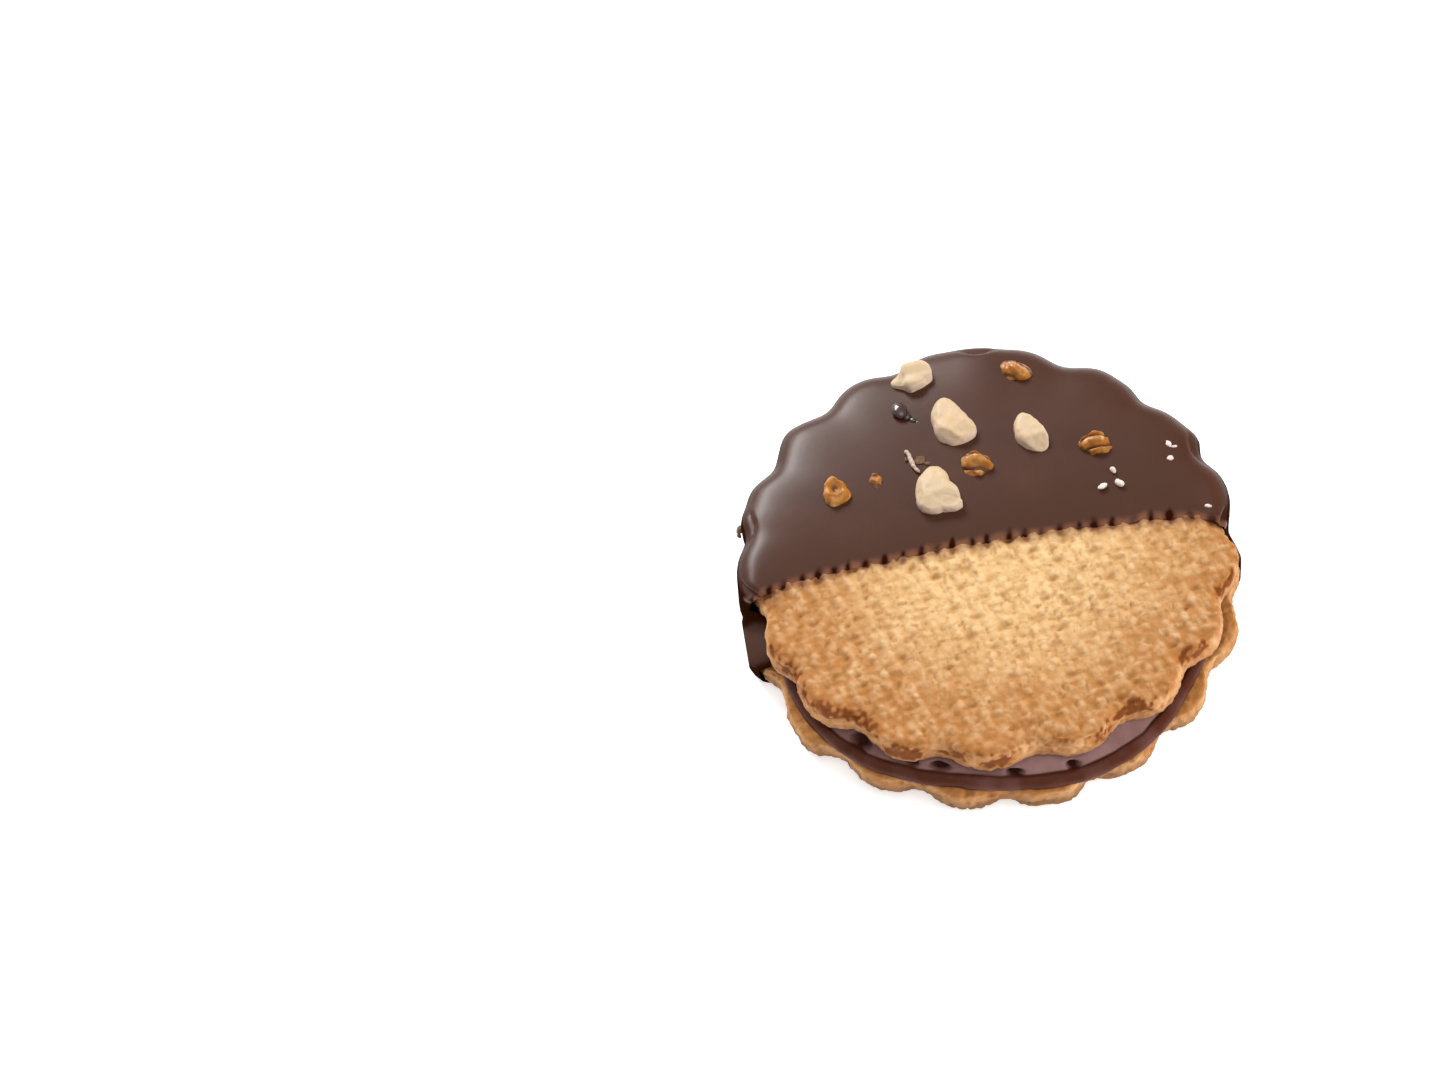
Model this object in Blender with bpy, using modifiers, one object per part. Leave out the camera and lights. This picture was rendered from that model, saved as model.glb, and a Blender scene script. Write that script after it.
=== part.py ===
"""Chocolate sable: two fluted biscuits with a chocolate filling, one half dipped.

The frame has +Z up and its origin under the middle of the lower biscuit, on the plane
the sable rests on. The dip line runs along X, and the dipped half lies towards +Y.
"""
import math

import bpy
import bmesh

MM = 0.001

# Biscuits: 60 mm over the flutes, baked in one mould and laid face outwards.
LOBES = 17
BISCUIT_RADIUS = 29.2 * MM
LOBE_RISE = 0.78 * MM
NOTCH_SHARPNESS = 0.12
BISCUIT_THICKNESS = 3.9 * MM
FACE_ROUND = 1.3 * MM
FACE_STEPS = 3
INNER_ROUND = 0.6 * MM
INNER_STEPS = 2
WALL_DRAFT = 0.2 * MM
POINTS_PER_LOBE = 6

# How the two biscuits lie: the upper one is turned half a flute and set back.
LOWER_TURN = math.radians(208.1)
UPPER_TURN = math.radians(197.2)
UPPER_SHIFT = (-0.2 * MM, 1.7 * MM)

# Unevenness of each outline: order round the rim, size, direction of the most. Sway moves
# the flutes along the rim, and swell moves the rim outwards.
LOWER_SWAY = ((1, math.radians(1.8), math.radians(-81)),
              (2, math.radians(1.4), math.radians(107)))
LOWER_SWELL = ((0, 0.15 * MM, 0.0), (1, 0.35 * MM, math.radians(215)))
UPPER_SWAY = ((1, math.radians(0.6), math.radians(16)),
              (2, math.radians(0.75), math.radians(191)),
              (3, math.radians(0.5), math.radians(216)))
UPPER_SWELL = ((3, 0.26 * MM, math.radians(-90)),)

# Chocolate cream between the biscuits, squeezed out into a bead on the bare side.
CREAM_GAP = 2.2 * MM
BEAD_REST_RADIUS = 26.9 * MM
BEAD_SQUEEZE = 2.85 * MM
BEAD_SQUEEZE_TOWARDS = math.radians(259)
BEAD_SQUEEZE_POWER = 0.95
BEAD_RIPPLE = 0.7 * MM
BEAD_RIPPLES = 5
BEAD_RIPPLE_AT = math.radians(219)
BEAD_ROUND = 0.68 * MM
BEAD_ARC = 165
BEAD_STEPS = 5
CREASE_DEPTH = 1.2 * MM
CREASE_RISE = 0.3 * MM
CREAM_NECK_DEPTH = 2.2 * MM

# Chocolate coat over one half, both faces, and the closed groove between the biscuits.
COAT_UNDER = 0.6 * MM
COAT_OVER = 0.8 * MM
COAT_SIDE = 0.7 * MM
COAT_FLUTE = 0.8
COAT_WAIST = 0.3 * MM
COAT_FACE_ROUND = 2.3 * MM
COAT_FOOT_ROUND = 1.4 * MM
COAT_STEPS = 4

# The dip line on the upper face, and how far the chocolate ran down at each end.
DIP_LINE = 2.05 * MM
DIP_BOW = 2.4 * MM
DIP_BOW_AT = 28.5 * MM
RUN_MEAN = 4.6 * MM
RUN_LEFT_MORE = 2.6 * MM
RUN_FROM = 7.2 * MM
RUN_TO = 3.8 * MM
DIP_STATIONS = 14
DIP_REACH = 36.0 * MM
RUN_STEPS = 4
BELOW_REST = 2.0 * MM
ABOVE_COAT = 4.0 * MM

# Clearance that neighbouring pieces keep.
GAP = 0.3 * MM

# Edges turned more than this show as creases.
CREASE_ANGLE = math.radians(40)

# Levels, from the resting plane up.
LOWER_BASE = COAT_UNDER
LOWER_TOP = LOWER_BASE + BISCUIT_THICKNESS
UPPER_BASE = LOWER_TOP + CREAM_GAP
UPPER_TOP = UPPER_BASE + BISCUIT_THICKNESS
COAT_TOP = UPPER_TOP + COAT_OVER
NUT_BASE = COAT_TOP + GAP

# Chopped nuts on the coat: place, width, depth, height, turn, and how much the far end
# narrows.
NUTS = (
    ("nut_far_rim", -5.0, 27.6, 5.6, 3.5, 2.5, 8, 0.85),
    ("nut_wedge", -1.3, 19.2, 5.9, 5.6, 3.0, 22, 0.60),
    ("nut_almond", 7.9, 16.5, 4.4, 4.8, 2.6, 14, 0.70),
    ("nut_block", -4.6, 9.7, 6.4, 5.4, 3.0, 10, 0.65),
)
NUT_TAPER = 0.22
NUT_EDGE = 0.26
NUT_EDGE_STEPS = 2

# Caramel bits on the coat: place, width, depth, height, turn.
CARAMELS = (
    ("caramel_drop", -17.0, 12.6, 3.6, 4.7, 1.8, 12),
    ("caramel_crumb", -11.8, 13.1, 1.8, 2.7, 1.1, 0),
    ("caramel_middle", 0.9, 12.9, 4.2, 3.1, 1.7, -8),
    ("caramel_right", 15.7, 13.1, 4.0, 2.7, 1.4, 4),
    ("caramel_far_rim", 7.9, 26.3, 3.5, 2.8, 1.6, -30),
)
CARAMEL_FOOT = -0.45

BISCUIT_COLOUR = (0.62, 0.36, 0.15)
CREAM_COLOUR = (0.075, 0.025, 0.017)
COAT_COLOUR = (0.085, 0.038, 0.026)
NUT_COLOUR = (0.76, 0.58, 0.38)
CARAMEL_COLOUR = (0.36, 0.15, 0.03)


def clear_scene():
    """Remove whatever the file opened with."""
    for obj in list(bpy.data.objects):
        bpy.data.objects.remove(obj, do_unlink=True)


def make_collection(name):
    """Return a new collection linked to the scene."""
    collection = bpy.data.collections.new(name)
    bpy.context.scene.collection.children.link(collection)
    return collection


def make_material(name, colour, roughness):
    """Return a Principled material."""
    material = bpy.data.materials.new(name)
    material.use_nodes = True
    shader = material.node_tree.nodes["Principled BSDF"]
    shader.inputs["Base Color"].default_value = (*colour, 1.0)
    shader.inputs["Roughness"].default_value = roughness
    shader.inputs["Metallic"].default_value = 0.0
    return material


def add_object(name, bm, collection, material=None):
    """Turn a bmesh into an object and free it."""
    mesh = bpy.data.meshes.new(name)
    bmesh.ops.recalc_face_normals(bm, faces=bm.faces)
    bm.to_mesh(mesh)
    bm.free()
    mesh.shade_smooth()
    mesh.set_sharp_from_angle(angle=CREASE_ANGLE)
    if material is not None:
        mesh.materials.append(material)
    obj = bpy.data.objects.new(name, mesh)
    collection.objects.link(obj)
    return obj


def loft(name, rings, collection, material=None):
    """Solid through rings of equal point count, lowest first, flat at both ends."""
    bm = bmesh.new()
    rows = [[bm.verts.new(point) for point in ring] for ring in rings]
    count = len(rows[0])
    for lower, upper in zip(rows, rows[1:]):
        for i in range(count):
            j = (i + 1) % count
            bm.faces.new((lower[i], lower[j], upper[j], upper[i]))
    bm.faces.new(list(reversed(rows[0])))
    bm.faces.new(rows[-1])
    return add_object(name, bm, collection, material)


def wave_sum(angle, terms):
    """Sum of slow waves round the rim."""
    return sum(size * math.cos(order * angle - at) for order, size, at in terms)


def ease(amount):
    """Smooth step from 0 to 1."""
    amount = min(1.0, max(0.0, amount))
    return amount * amount * (3 - 2 * amount)


def rim_radius(angle, turn, sway, swell, flute):
    """Radius of a fluted outline: broad lobes, tighter notches, uneven as baked."""
    phase = LOBES * (angle - turn - wave_sum(angle, sway))
    lobe = math.cos(phase) - NOTCH_SHARPNESS * math.cos(2 * phase)
    return BISCUIT_RADIUS + flute * LOBE_RISE * lobe + wave_sum(angle, swell)


def lower_rim(angle, flute=1.0):
    """Radius of the lower biscuit's outline about its own middle."""
    return rim_radius(angle, LOWER_TURN, LOWER_SWAY, LOWER_SWELL, flute)


def upper_rim(angle, flute=1.0):
    """Radius of the upper biscuit's outline about its own middle."""
    return rim_radius(angle, UPPER_TURN, UPPER_SWAY, UPPER_SWELL, flute)


def ring_angles():
    """Even angles all round."""
    count = LOBES * POINTS_PER_LOBE
    return [2 * math.pi * i / count for i in range(count)]


def make_ring(radius, height, middle=(0.0, 0.0)):
    """Ring of points at one height, from a radius as a function of the angle."""
    ring = []
    for angle in ring_angles():
        reach = radius(angle)
        x = middle[0] + reach * math.cos(angle)
        y = middle[1] + reach * math.sin(angle)
        ring.append((x, y, height))
    return ring


def quarter_round(size, steps):
    """Inset and rise of a quarter round, from its face to its wall."""
    turns = [0.5 * math.pi * i / steps for i in range(steps + 1)]
    return [(size * (1 - math.sin(t)), size * (1 - math.cos(t))) for t in turns]


def biscuit_profile(grow):
    """Inset and height of a biscuit's wall, from its outer face to its inner face."""
    face = quarter_round(FACE_ROUND, FACE_STEPS)
    inner = quarter_round(INNER_ROUND, INNER_STEPS)
    profile = [(inset + WALL_DRAFT - grow, rise - grow) for inset, rise in face]
    height = BISCUIT_THICKNESS + grow
    profile += [(inset - grow, height - rise) for inset, rise in reversed(inner)]
    return profile


def make_biscuit(name, rim, base, face_up, middle, collection, material=None, grow=0.0):
    """Fluted biscuit with a rounded outer face; grow makes the larger cutter."""
    rings = []
    for inset, rise in biscuit_profile(grow):
        height = base + (BISCUIT_THICKNESS - rise if face_up else rise)
        rings.append(make_ring(lambda a, i=inset: rim(a) - i, height, middle))
    if face_up:
        rings.reverse()
    return loft(name, rings, collection, material)


def bead_radius(angle):
    """Outer radius of the cream: widest on the bare side, where it was squeezed out."""
    squeeze = max(0.0, math.cos(angle - BEAD_SQUEEZE_TOWARDS)) ** BEAD_SQUEEZE_POWER
    ripple = BEAD_RIPPLE * math.cos(BEAD_RIPPLES * (angle - BEAD_RIPPLE_AT))
    return BEAD_REST_RADIUS + squeeze * (BEAD_SQUEEZE + ripple)


def make_cream(name, collection, material=None, grow=0.0):
    """Cream disc: a round bead low down, a crease over it, then a narrower neck."""
    low = LOWER_TOP + GAP - grow
    high = UPPER_BASE - GAP + grow
    bead_middle = LOWER_TOP + GAP + BEAD_ROUND
    levels = [(BEAD_ROUND, low)]
    for i in range(1, BEAD_STEPS + 1):
        turn = math.radians(-90 + BEAD_ARC * i / BEAD_STEPS)
        inset = BEAD_ROUND * (1 - math.cos(turn)) - grow
        levels.append((inset, bead_middle + (BEAD_ROUND + grow) * math.sin(turn)))
    if grow == 0.0:
        levels.append((CREASE_DEPTH, bead_middle + CREASE_RISE))
    levels.append((CREAM_NECK_DEPTH - grow, high))
    rings = [make_ring(lambda a, i=inset: bead_radius(a) - i, height)
             for inset, height in levels]
    return loft(name, rings, collection, material)


def make_coat_body(name, collection, material):
    """Outer form of the chocolate, from the lower outline to the upper one."""
    waist_middle = tuple(0.5 * shift for shift in UPPER_SHIFT)
    waist_height = 0.5 * (LOWER_TOP + UPPER_BASE)
    rings = []
    for inset, rise in quarter_round(COAT_FOOT_ROUND, COAT_STEPS):
        reach = COAT_SIDE - inset
        rings.append(make_ring(lambda a, r=reach: lower_rim(a, COAT_FLUTE) + r, rise))
    rings.append(make_ring(lambda a: lower_rim(a, COAT_FLUTE) + COAT_SIDE, LOWER_TOP))
    rings.append(make_ring(lambda a: lower_rim(a, 0.0) + COAT_WAIST,
                           waist_height, waist_middle))
    rings.append(make_ring(lambda a: upper_rim(a, COAT_FLUTE) + COAT_SIDE,
                           UPPER_BASE, UPPER_SHIFT))
    for inset, rise in reversed(quarter_round(COAT_FACE_ROUND, COAT_STEPS)):
        reach = COAT_SIDE - inset
        rings.append(make_ring(lambda a, r=reach: upper_rim(a, COAT_FLUTE) + r,
                               COAT_TOP - rise, UPPER_SHIFT))
    return loft(name, rings, collection, material)


def dip_line(x, z):
    """Y of the chocolate's edge: bowed on the face, run down further at the left end."""
    across = x / DIP_BOW_AT
    line = DIP_LINE - DIP_BOW * abs(across) ** 3
    run = RUN_MEAN - RUN_LEFT_MORE * across
    return line - run * ease((RUN_FROM - z) / (RUN_FROM - RUN_TO))


def make_bare_side(name, collection):
    """Cutter on the bare side of the dip line."""
    levels = [-BELOW_REST]
    levels += [RUN_TO + (RUN_FROM - RUN_TO) * i / RUN_STEPS for i in range(RUN_STEPS + 1)]
    levels += [COAT_TOP + ABOVE_COAT]
    rings = []
    for i in range(DIP_STATIONS + 1):
        x = DIP_REACH * (2 * i / DIP_STATIONS - 1)
        line_x = max(-DIP_BOW_AT, min(DIP_BOW_AT, x))
        edge = [(x, dip_line(line_x, z), z) for z in levels]
        rings.append(edge + [(x, -DIP_REACH, levels[-1]), (x, -DIP_REACH, levels[0])])
    return loft(name, rings, collection)


def cut(obj, cutter):
    """Cut one object by another."""
    cutter.hide_render = True
    cutter.display_type = "WIRE"
    modifier = obj.modifiers.new("cut_" + cutter.name, "BOOLEAN")
    modifier.operation = "DIFFERENCE"
    modifier.solver = "EXACT"
    modifier.object = cutter


def make_nut(entry, collection, material):
    """Chopped nut: a block that narrows towards its far end and top, edges rubbed."""
    name, x, y, width, depth, height, turn, narrowing = entry
    bm = bmesh.new()
    bmesh.ops.create_cube(bm, size=1.0)
    for vert in bm.verts:
        far = 0.5 + vert.co.y
        high = 0.5 + vert.co.z
        narrow = (1 - far * (1 - narrowing)) * (1 - NUT_TAPER * high)
        vert.co.x *= width * MM * narrow
        vert.co.y *= depth * MM * (1 - NUT_TAPER * high)
        vert.co.z = height * MM * high
    obj = add_object(name, bm, collection, material)
    obj.location = (x * MM, y * MM, NUT_BASE)
    obj.rotation_euler.z = math.radians(turn)
    bevel = obj.modifiers.new("rubbed_edges", "BEVEL")
    bevel.width = NUT_EDGE * height * MM
    bevel.segments = NUT_EDGE_STEPS
    bevel.limit_method = "NONE"
    return obj


def make_caramel(entry, collection, material):
    """Caramel bit: a low drop with a flat foot."""
    name, x, y, width, depth, height, turn = entry
    bm = bmesh.new()
    bmesh.ops.create_icosphere(bm, subdivisions=2, radius=1.0)
    bmesh.ops.bisect_plane(bm, geom=bm.verts[:] + bm.edges[:] + bm.faces[:],
                           plane_co=(0, 0, CARAMEL_FOOT), plane_no=(0, 0, -1), clear_outer=True)
    open_edges = [edge for edge in bm.edges if edge.is_boundary]
    bmesh.ops.contextual_create(bm, geom=open_edges)
    for vert in bm.verts:
        vert.co.x *= 0.5 * width * MM
        vert.co.y *= 0.5 * depth * MM
        vert.co.z = height * MM * (vert.co.z - CARAMEL_FOOT) / (1 - CARAMEL_FOOT)
    obj = add_object(name, bm, collection, material)
    obj.location = (x * MM, y * MM, NUT_BASE)
    obj.rotation_euler.z = math.radians(turn)
    return obj


def build():
    """Build the sable."""
    clear_scene()
    parts = make_collection("chocolate_sable")
    cutters = make_collection("cutters")
    biscuit = make_material("baked_biscuit", BISCUIT_COLOUR, 0.7)
    cream = make_material("chocolate_cream", CREAM_COLOUR, 0.25)
    chocolate = make_material("chocolate_coat", COAT_COLOUR, 0.4)
    nut = make_material("chopped_nut", NUT_COLOUR, 0.55)
    caramel = make_material("caramel", CARAMEL_COLOUR, 0.3)

    lower = (lower_rim, LOWER_BASE, False, (0.0, 0.0))
    upper = (upper_rim, UPPER_BASE, True, UPPER_SHIFT)
    make_biscuit("biscuit_lower", *lower, parts, biscuit)
    make_biscuit("biscuit_upper", *upper, parts, biscuit)
    make_cream("cream_filling", parts, cream)

    coat = make_coat_body("chocolate_coat", parts, chocolate)
    cut(coat, make_biscuit("room_for_lower", *lower, cutters, grow=GAP))
    cut(coat, make_biscuit("room_for_upper", *upper, cutters, grow=GAP))
    cut(coat, make_cream("room_for_cream", cutters, grow=GAP))
    cut(coat, make_bare_side("bare_side", cutters))

    for entry in NUTS:
        make_nut(entry, parts, nut)
    for entry in CARAMELS:
        make_caramel(entry, parts, caramel)


build()
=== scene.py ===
import itertools
import math

import bpy
import numpy as np
from mathutils import Matrix, Vector


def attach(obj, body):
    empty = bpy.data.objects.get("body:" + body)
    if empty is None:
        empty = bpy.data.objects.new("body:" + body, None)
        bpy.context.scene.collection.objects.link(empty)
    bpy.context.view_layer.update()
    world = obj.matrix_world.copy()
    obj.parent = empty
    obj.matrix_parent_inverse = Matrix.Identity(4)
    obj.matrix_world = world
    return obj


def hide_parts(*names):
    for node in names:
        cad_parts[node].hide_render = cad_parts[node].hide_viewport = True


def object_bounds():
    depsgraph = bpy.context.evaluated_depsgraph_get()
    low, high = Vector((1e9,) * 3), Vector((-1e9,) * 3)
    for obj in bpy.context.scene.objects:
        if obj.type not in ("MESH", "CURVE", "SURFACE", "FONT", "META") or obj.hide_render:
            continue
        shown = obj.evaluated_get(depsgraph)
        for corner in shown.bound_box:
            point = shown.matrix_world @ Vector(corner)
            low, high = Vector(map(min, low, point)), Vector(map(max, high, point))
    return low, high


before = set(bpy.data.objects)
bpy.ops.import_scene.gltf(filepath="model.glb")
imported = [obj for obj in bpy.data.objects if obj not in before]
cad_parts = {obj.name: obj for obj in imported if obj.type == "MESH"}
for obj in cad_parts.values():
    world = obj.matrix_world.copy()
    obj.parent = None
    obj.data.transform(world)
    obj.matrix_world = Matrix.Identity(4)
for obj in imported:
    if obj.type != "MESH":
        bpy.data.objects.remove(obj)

# A chocolate sable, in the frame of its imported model: +Z up, resting plane at 0, the dip line
# along X, the dipped half towards +Y. Lengths are in millimetres, and each mesh is written in
# metres.
MM = 0.001
cad_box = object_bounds()

# The set: a plain white table in a white room. A soft window stands behind on the left, a soft
# ceiling light hangs in front, and a weak fill that shows in no reflection stands on the right.
# The camera looks down from the bare side at 55 degrees.
TABLE_RADIUS = 1500
TABLE_COLOUR = (0.93, 0.93, 0.93, 1)
TABLE_GLOW = 0.55
ROOM_LIGHT = 0.42
LIGHT_DISTANCE = 900
# Each light: name, azimuth, elevation, width, height and watts.
SOFT_LIGHTS = (("window", 113, 38, 440, 300, 8.7), ("ceiling", 290, 70, 600, 600, 2.4),
               ("fill", 340, 15, 500, 300, 6.4))
VIEW_ELEVATION = math.radians(54.65)
VIEW_DISTANCE = 449.78
VIEW_ROLL = math.radians(-9.53)
VIEW_CENTRE = Vector((-31.63, 16.43, 0))
FOCAL_LENGTH = 90
SENSOR_WIDTH = 36


def leave_all():
    """Deselect everything, so that an operator acts only on what comes next."""
    if bpy.context.object and bpy.context.object.mode != "OBJECT":
        bpy.ops.object.mode_set(mode="OBJECT")
    bpy.ops.object.select_all(action="DESELECT")


leave_all()
bpy.ops.mesh.primitive_circle_add(vertices=96, radius=TABLE_RADIUS * MM, fill_type="NGON")
table = bpy.context.object
table.name = "table"
table_paint = bpy.data.materials.new("white_table")
table_paint.use_nodes = True
table_shader = table_paint.node_tree.nodes["Principled BSDF"]
table_shader.inputs["Base Color"].default_value = TABLE_COLOUR
table_shader.inputs["Roughness"].default_value = 0.9
table_shader.inputs["Specular IOR Level"].default_value = 0.1
table_shader.inputs["Emission Color"].default_value = (1, 1, 1, 1)
table_shader.inputs["Emission Strength"].default_value = TABLE_GLOW
table.data.materials.append(table_paint)

room = bpy.data.worlds.new("white_room")
bpy.context.scene.world = room
room.use_nodes = True
room.node_tree.nodes["Background"].inputs["Color"].default_value = (1, 1, 1, 1)
room.node_tree.nodes["Background"].inputs["Strength"].default_value = ROOM_LIGHT
bpy.context.scene.view_settings.view_transform = "Standard"


def hang_light(name, azimuth, elevation, width, height, power):
    """Hang a soft panel light that faces the sable; angles in degrees, power in watts."""
    lamp = bpy.data.lights.new(name, "AREA")
    lamp.shape = "RECTANGLE"
    lamp.size = width * MM
    lamp.size_y = height * MM
    lamp.energy = power
    light = bpy.data.objects.new(name, lamp)
    bpy.context.scene.collection.objects.link(light)
    across = math.radians(azimuth)
    rise = math.radians(elevation)
    towards = Vector((math.cos(rise) * math.cos(across), math.cos(rise) * math.sin(across),
                      math.sin(rise)))
    light.location = towards * LIGHT_DISTANCE * MM
    light.rotation_euler = towards.to_track_quat("Z", "Y").to_euler()


for panel in SOFT_LIGHTS:
    hang_light(*panel)
bpy.data.objects["fill"].visible_glossy = False

forward = Vector((0, math.cos(VIEW_ELEVATION), -math.sin(VIEW_ELEVATION)))
level_up = Vector((0, math.sin(VIEW_ELEVATION), math.cos(VIEW_ELEVATION)))
right = math.cos(VIEW_ROLL) * Vector((1, 0, 0)) + math.sin(VIEW_ROLL) * level_up
up = math.cos(VIEW_ROLL) * level_up - math.sin(VIEW_ROLL) * Vector((1, 0, 0))
lens = bpy.data.cameras.new("camera")
lens.sensor_width = SENSOR_WIDTH
lens.lens = FOCAL_LENGTH
lens.clip_start = 0.01
camera = bpy.data.objects.new("camera", lens)
bpy.context.scene.collection.objects.link(camera)
place = (VIEW_CENTRE - forward * VIEW_DISTANCE) * MM
turned = Matrix((right, up, -forward)).transposed().to_4x4()
camera.matrix_world = Matrix.Translation(place) @ turned
bpy.context.scene.camera = camera

# The lower biscuit: baked shortbread from a fluted cutter, laid face down, so that the mark of
# the oven's wire belt is underneath and its plain side is up. It is made as a stack of rings,
# fluted, turned into an even mesh, and then roughened like crumb.
LOBES = 17
BISCUIT_RADIUS = 29.2
LOBE_RISE = 0.78
NOTCH_SHARPNESS = 0.12
BISCUIT_THICKNESS = 3.9
LOWER_ROUND = 1.9
INNER_ROUND = 0.7
FACE_STEPS = 6
INNER_STEPS = 3
RING_POINTS = 14 * LOBES
CRUMB_MESH = 0.4
CRUMB_RELAX = 3
FINE_TO_Y = 3.5
FINE_FROM_REACH = 24
BOX_GAP = 0.01
LOWER_BASE = 0.6
LOWER_TOP = LOWER_BASE + BISCUIT_THICKNESS
UPPER_BASE = 6.7
UPPER_TOP = UPPER_BASE + BISCUIT_THICKNESS
# Its outline: where the flutes start, how their spacing sways and the rim swells round the
# biscuit (order, size and angle), and where a lobe spread in baking (degrees, size, half width).
LOWER_TURN = math.radians(208.1)
LOWER_SWAY = ((1, math.radians(1.8), math.radians(-81)),
              (2, math.radians(1.4), math.radians(107)))
LOWER_SWELL = ((0, 0.15, 0.0), (1, 0.35, math.radians(215)))
LOWER_SPREAD = ((216.5, 1.15, 5), (267, 0.5, 4), (278, 0.5, 4), (285, 0.3, 3), (342, 0.5, 5),
                (351, 0.45, 5))
# Where the rim is browner, and where the lower biscuit's painted shade is strongest.
BROWN_AND_SHADE_TOWARDS = math.radians(250)
# The belt's mark: one knot of the weave, the steps to the next ones, and the size of each mark.
BELT_CORNER = np.array((3.85, -2.75))
BELT_ACROSS = np.array((2.055, 0.30))
BELT_ALONG = np.array((0.664, -2.236))
BELT_LATTICE = np.stack([BELT_ACROSS, BELT_ALONG], axis=1)
BELT_WANDER = 0.2
PIT_ASIDE = 0.42
PIT_AHEAD = 0.19
GROOVE_ASIDE = 0.11
BELT_DEPTH = 0.32
PILLOW_RISE = 0.12
# The crumb: cells with cracks between, notches that sank, torn walls, pores and browned spots.
CELLS_PER_MARK = 1.75
CRACK_WIDTH = 0.42
SCOOP_DEPTH = 0.5
TEAR_DEPTH = 0.4
PORE_DEPTH = 0.6
SPOT_TALL = 1.1
SPOT_STRENGTH = 1.8


def ease(low, high, amount):
    """Smooth step from 0 at low to 1 at high."""
    share = np.clip((amount - low) / (high - low), 0, 1)
    return share * share * (3 - 2 * share)


def pick(piece):
    """Select one piece alone and make it active."""
    leave_all()
    piece.select_set(True)
    bpy.context.view_layer.objects.active = piece


def get_points(piece):
    """Vertices in millimetres."""
    points = np.empty(3 * len(piece.data.vertices), dtype=np.float32)
    piece.data.vertices.foreach_get("co", points)
    return points.reshape(-1, 3).astype(float) / MM


def put_points(piece, points):
    """Write vertices given in millimetres."""
    piece.data.vertices.foreach_set("co", (points * MM).astype(np.float32).ravel())
    piece.data.update()


def get_normals(piece):
    """Vertex normals."""
    normals = np.empty(3 * len(piece.data.vertices), dtype=np.float32)
    piece.data.vertex_normals.foreach_get("vector", normals)
    return normals.reshape(-1, 3).astype(float)


def paint(piece, name, values):
    """Store one number for each vertex, for the material to read."""
    layer = piece.data.attributes.new(name, "FLOAT", "POINT")
    layer.data.foreach_set("value", np.asarray(values, dtype=np.float32))


def scatter(cells, seed):
    """Steady random number from 0 to 1 for each whole-number cell."""
    cells = cells.astype(np.int64).astype(np.uint32)
    mixed = np.full(cells.shape[:-1], seed * 7919 + 17, dtype=np.uint32)
    for axis, prime in enumerate((73856093, 19349663, 83492791)):
        mixed = mixed ^ (cells[..., axis] * np.uint32(prime))
    mixed = (mixed ^ (mixed >> np.uint32(15))) * np.uint32(2246822519)
    mixed = (mixed ^ (mixed >> np.uint32(13))) * np.uint32(3266489917)
    mixed = mixed ^ (mixed >> np.uint32(16))
    return mixed / 4294967295.0


def grain(points, size, seed):
    """Smooth random field from -1 to 1, with features of a given size."""
    scaled = points / size + 0.37 * seed
    cell = np.floor(scaled)
    part = scaled - cell
    part = part * part * (3 - 2 * part)
    total = np.zeros(len(points))
    for corner in itertools.product((0, 1), repeat=3):
        weight = np.prod(np.where(np.array(corner) == 1, part, 1 - part), axis=1)
        total += weight * scatter(cell + corner, seed)
    return 2 * total - 1


def wave_sum(angle, terms):
    """Sum of slow waves round the rim."""
    return sum(size * np.cos(order * angle - at) for order, size, at in terms)


def flutes(angle, turn, sway):
    """Lobes and notches round the rim: about 1 on a lobe and -1 in a notch."""
    phase = LOBES * (angle - turn - wave_sum(angle, sway))
    return np.cos(phase) - NOTCH_SHARPNESS * np.cos(2 * phase)


def degrees_from(angle, at):
    """Angle round the rim from a place in degrees, between -180 and 180."""
    return np.remainder(np.degrees(angle) - at + 180, 360) - 180


def local_swells(angle, swells):
    """Extra reach in places round the rim; each at an angle, with its size and half width."""
    return sum(size * np.exp(-(degrees_from(angle, at) / width) ** 2)
               for at, size, width in swells)


def lower_rim(angle, flute=1.0):
    """Radius of the lower biscuit's outline."""
    return (BISCUIT_RADIUS + flute * LOBE_RISE * flutes(angle, LOWER_TURN, LOWER_SWAY)
            + wave_sum(angle, LOWER_SWELL) + local_swells(angle, LOWER_SPREAD))


def stack_rings(name, radius, heights):
    """Stand a closed drum: a filled circle, extruded up through the given heights."""
    leave_all()
    bpy.ops.mesh.primitive_circle_add(vertices=RING_POINTS, radius=radius * MM,
                                      fill_type="NGON", location=(0, 0, heights[0] * MM))
    drum = bpy.context.object
    drum.name = name
    bpy.ops.object.transform_apply(location=True)
    bpy.ops.object.mode_set(mode="EDIT")
    bpy.ops.mesh.select_all(action="SELECT")
    for low, high in zip(heights, heights[1:]):
        bpy.ops.mesh.extrude_region_move(
            TRANSFORM_OT_translate={"value": (0, 0, (high - low) * MM)})
    bpy.ops.mesh.select_all(action="SELECT")
    bpy.ops.mesh.normals_make_consistent(inside=False)
    bpy.ops.object.mode_set(mode="OBJECT")
    return drum


def apply_modifier(piece, modifier):
    """Apply a modifier to its piece."""
    pick(piece)
    bpy.ops.object.modifier_apply(modifier=modifier.name)


def even_mesh(piece, size, smoothing):
    """Turn a piece into an even mesh of small squares, then relax it."""
    remesh = piece.modifiers.new("even_mesh", "REMESH")
    remesh.mode = "VOXEL"
    remesh.voxel_size = size * MM
    apply_modifier(piece, remesh)
    relax = piece.modifiers.new("relax", "SMOOTH")
    relax.factor = 0.5
    relax.iterations = smoothing
    apply_modifier(piece, relax)


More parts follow.
